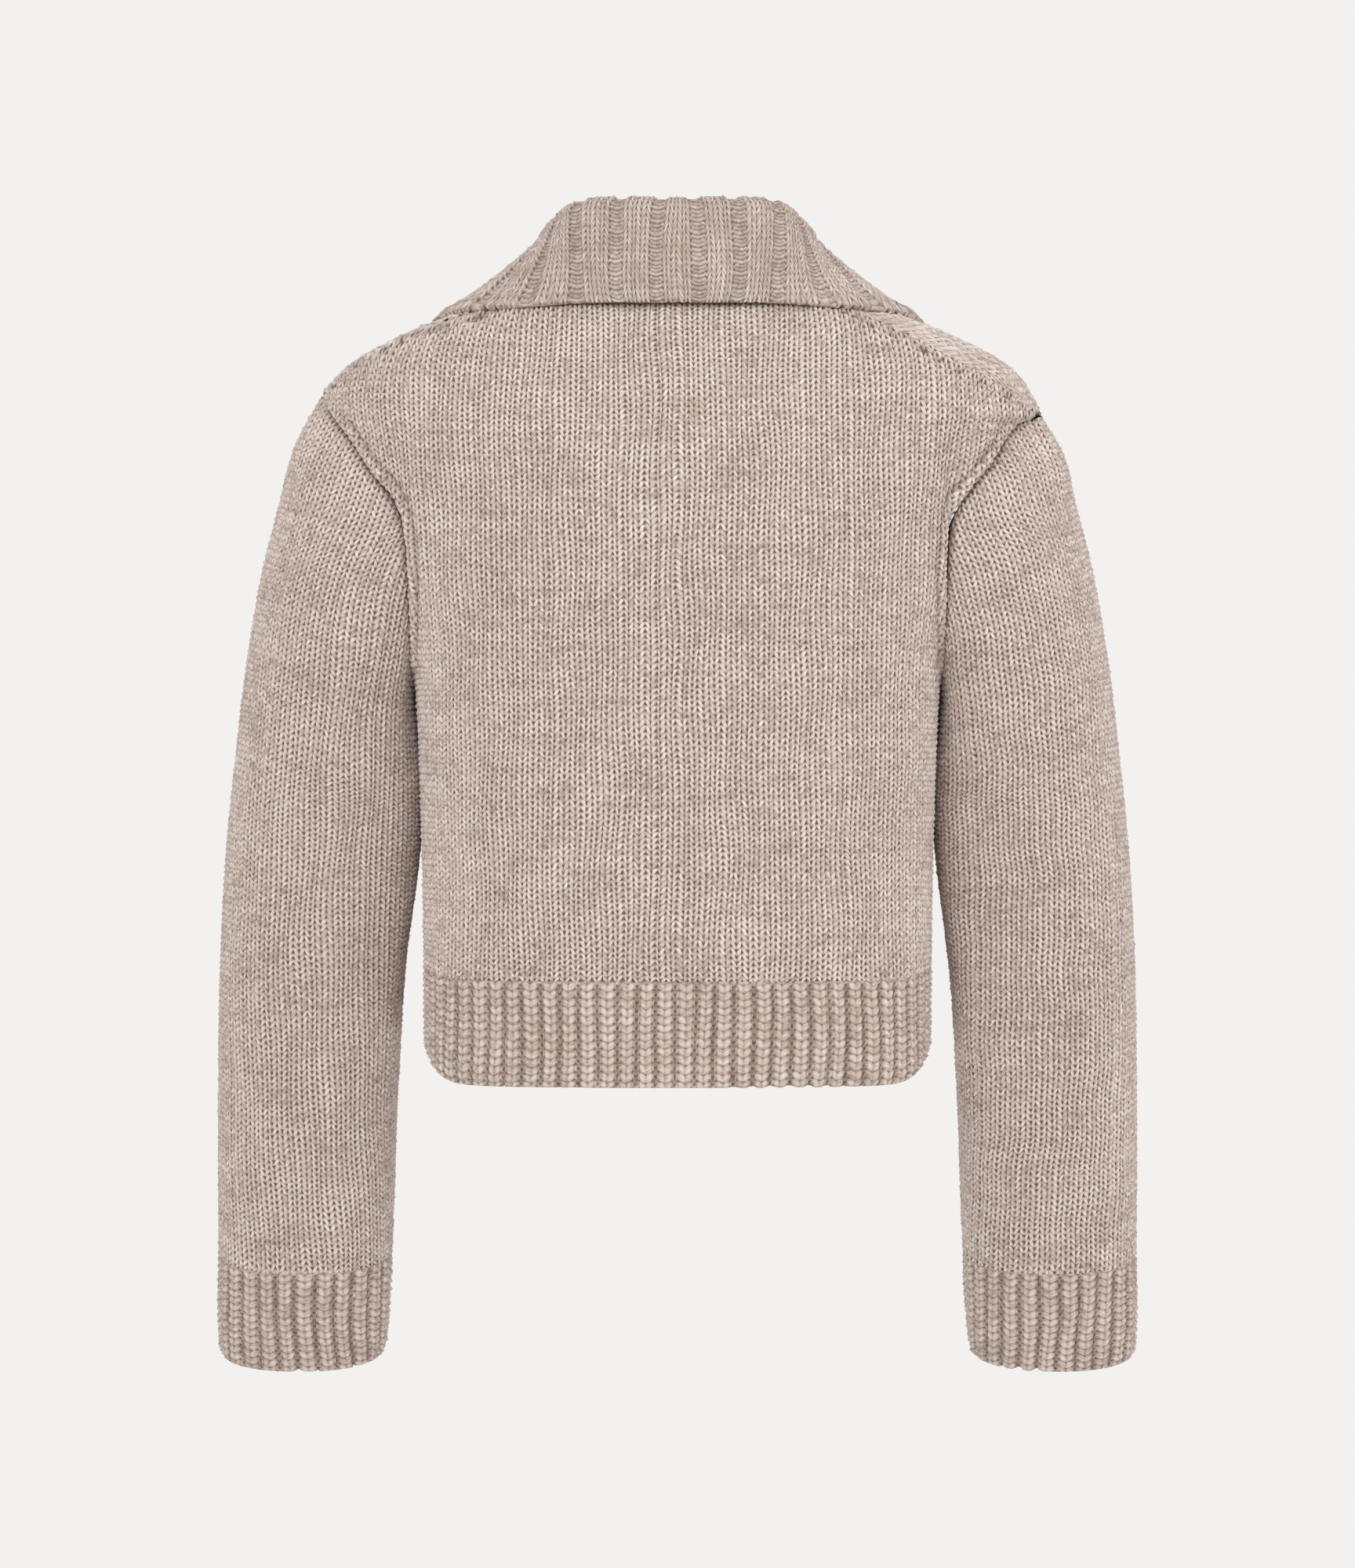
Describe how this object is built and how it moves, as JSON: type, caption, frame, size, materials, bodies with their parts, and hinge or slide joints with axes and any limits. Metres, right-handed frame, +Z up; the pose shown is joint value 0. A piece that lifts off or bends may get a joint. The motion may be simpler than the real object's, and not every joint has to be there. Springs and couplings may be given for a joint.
{
  "type": "cropped cardigan",
  "caption": "Chunky-knit cropped cardigan, filled out as if worn, with a wide folded rib collar, drop shoulders, long sleeves, rib cuffs, a rib hem and a buttoned front.",
  "frame": {"origin": "between the wearer's shoulders, level with the middle of the shoulder line, where the garment hangs from the wearer", "axes": "+Z up, +Y towards the back of the garment, +X towards the wearer's left"},
  "size_m": [0.539, 0.2264, 0.6779],
  "materials": {
    "panel_knit": "soft oatmeal stockinette in marled yarn",
    "rib_knit": "soft oatmeal one-by-one rib in marled yarn",
    "collar_knit": "soft oatmeal wide rib in marled yarn",
    "button": "satin, horn-coloured"
  },
  "bodies": {
    "root": {"back": "panel_knit", "front_left": "panel_knit", "front_right": "panel_knit", "sleeve_left": "panel_knit", "sleeve_right": "panel_knit", "hem_back": "rib_knit", "hem_front_left": "rib_knit", "hem_front_right": "rib_knit", "cuff_left": "rib_knit", "cuff_right": "rib_knit", "band_button": "rib_knit", "band_buttonhole": "rib_knit", "collar": "collar_knit", "button_1": "button", "button_2": "button", "button_3": "button", "button_4": "button", "button_5": "button"}
  },
  "joints": []
}
